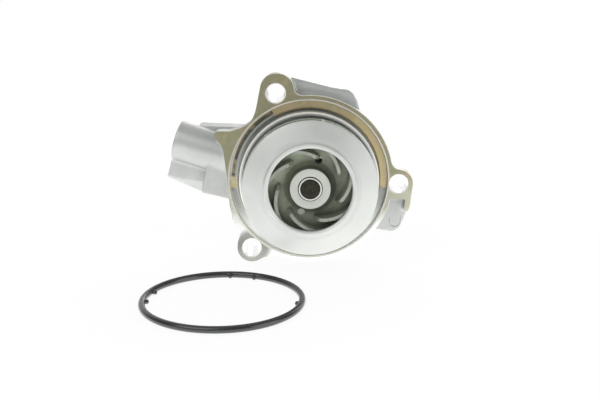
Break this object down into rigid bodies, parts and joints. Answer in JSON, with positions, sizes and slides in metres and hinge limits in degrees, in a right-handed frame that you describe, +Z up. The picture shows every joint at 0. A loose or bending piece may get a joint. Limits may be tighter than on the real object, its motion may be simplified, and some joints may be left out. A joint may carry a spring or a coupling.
{
  "type": "water pump",
  "caption": "Belt-driven engine coolant pump: cast flanged housing, closed impeller, sliding control sleeve, toothed pulley, and a loose rubber flange seal.",
  "frame": {"origin": "on the shaft axis, at the flat rear end of the shaft (pulley end); the flange's mounting face lies 58 mm in front of it", "axes": "shaft along Y: +Y towards the pulley, -Y out of the mounting face towards the impeller; +Z up in the picture's pose, +X to the right seen from the impeller side"},
  "size_m": [0.1282, 0.1548, 0.0953],
  "materials": {
    "cast_aluminium": "die-cast, satin, with milled mounting face",
    "bright_steel": "ground",
    "sheet_steel": "pressed, zinc plated",
    "spring_steel": "drawn wire",
    "shroud_alloy": "fine turned, satin",
    "impeller_alloy": "cast, dark satin",
    "brass": "pressed",
    "carbon": "lapped carbon, matt black",
    "ceramic": "lapped ceramic, ivory",
    "rubber": "moulded, slight sheen",
    "cage_plastic": "moulded, brown",
    "black_plastic": "moulded, fine grain",
    "copper": "wound enamelled wire",
    "pulley_steel": "sintered steel, satin"
  },
  "bodies": {
    "housing": {"pump_housing": "cast_aluminium", "bearing_outer_ring": "bright_steel", "bearing_seal_front": "rubber", "bearing_seal_rear": "rubber", "seal_cup": "brass", "seal_bellows": "rubber", "seal_spring": "spring_steel", "seal_carbon_ring": "carbon", "spring_retainer": "bright_steel", "retainer_circlip": "spring_steel", "return_spring": "spring_steel", "pump_piston_liner": "bright_steel", "pump_check_ball": "bright_steel", "pump_piston_spring": "spring_steel", "valve_body": "bright_steel", "valve_coil": "copper", "valve_socket": "black_plastic", "valve_pin_1": "brass", "valve_pin_2": "brass", "valve_spring": "spring_steel", "passage_plug": "bright_steel"},
    "rotor": {"pump_shaft": "bright_steel", "hub_bush": "bright_steel", "impeller_body": "impeller_alloy", "impeller_shroud": "shroud_alloy", "swash_ring": "bright_steel", "belt_pulley": "pulley_steel", "seal_seat_ring": "ceramic", "seal_seat_boot": "rubber"},
    "ball_row": {"ball_cage": "cage_plastic", "bearing_ball_1": "bright_steel", "bearing_ball_2": "bright_steel", "bearing_ball_3": "bright_steel", "bearing_ball_4": "bright_steel", "bearing_ball_5": "bright_steel", "bearing_ball_6": "bright_steel", "bearing_ball_7": "bright_steel"},
    "roller_row": {"roller_cage": "cage_plastic", "bearing_roller_1": "bright_steel", "bearing_roller_2": "bright_steel", "bearing_roller_3": "bright_steel", "bearing_roller_4": "bright_steel", "bearing_roller_5": "bright_steel", "bearing_roller_6": "bright_steel", "bearing_roller_7": "bright_steel"},
    "sleeve": {"regulating_sleeve": "sheet_steel", "annular_piston": "sheet_steel", "piston_lip_seal": "rubber"},
    "piston": {"pump_piston": "bright_steel"},
    "armature": {"valve_armature": "bright_steel"},
    "flange_seal": {"flange_seal_ring": "rubber"}
  },
  "joints": [
    {"name": "shaft_spin", "type": "hinge", "parent": "housing", "child": "rotor", "pos_m": [0, -0.02, 0], "axis": [0, 1, 0], "continuous": true},
    {"name": "ball_row_spin", "type": "hinge", "parent": "housing", "child": "ball_row", "pos_m": [0, -0.037, 0], "axis": [0, 1, 0], "continuous": true},
    {"name": "roller_row_spin", "type": "hinge", "parent": "housing", "child": "roller_row", "pos_m": [0, -0.018, 0], "axis": [0, 1, 0], "continuous": true},
    {"name": "sleeve_slide", "type": "slide", "parent": "housing", "child": "sleeve", "axis": [0, -1, 0], "range_m": [0, 0.015], "deforming": ["return_spring"]},
    {"name": "piston_slide", "type": "slide", "parent": "housing", "child": "piston", "axis": [0, 1, 0], "range_m": [0, 0.002], "deforming": ["pump_piston_spring"]},
    {"name": "armature_slide", "type": "slide", "parent": "housing", "child": "armature", "axis": [0.9565, -0.0995, -0.2743], "range_m": [0, 0.0015], "deforming": ["valve_spring"]},
    {"name": "flange_seal_slide", "type": "slide", "parent": "housing", "child": "flange_seal", "axis": [0, -1, 0], "range_m": [0, 0.06]}
  ],
  "couplings": [
    {"joint": "ball_row_spin", "follows": "shaft_spin", "ratio": 0.3775},
    {"joint": "roller_row_spin", "follows": "shaft_spin", "ratio": 0.3942}
  ]
}
